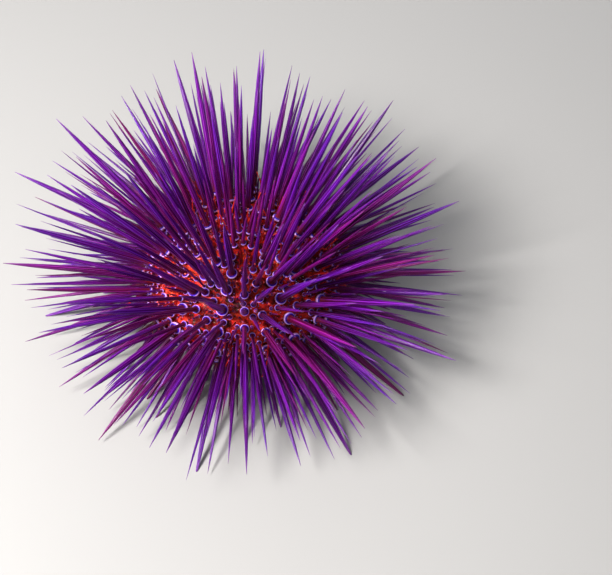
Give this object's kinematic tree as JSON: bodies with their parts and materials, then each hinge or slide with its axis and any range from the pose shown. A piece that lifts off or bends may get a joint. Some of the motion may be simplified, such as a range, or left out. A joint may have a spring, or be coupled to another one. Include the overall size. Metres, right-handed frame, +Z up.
{
  "type": "purple sea urchin",
  "caption": "Still, life-size sea urchin: a low domed shell that stands on its mouth side, covered in long tapered purple spines.",
  "frame": {"origin": "on the floor, under the middle of the spread of the spines", "axes": "+Z up along the shell's axis from mouth to top, -Y towards the picture's viewpoint, +X to its right"},
  "size_m": [0.1335, 0.1363, 0.0694],
  "materials": {
    "interambulacrum": "satin",
    "ambulacrum": "satin",
    "apical_disc": "satin",
    "mouth": "moist"
  },
  "bodies": {
    "root": {"apical_disc": "apical_disc", "mouth": "mouth", "ambulacrum_1": "ambulacrum", "ambulacrum_2": "ambulacrum", "ambulacrum_3": "ambulacrum", "ambulacrum_4": "ambulacrum", "ambulacrum_5": "ambulacrum", "interambulacrum_1": "interambulacrum", "interambulacrum_2": "interambulacrum", "interambulacrum_3": "interambulacrum", "interambulacrum_4": "interambulacrum", "interambulacrum_5": "interambulacrum"}
  },
  "joints": []
}
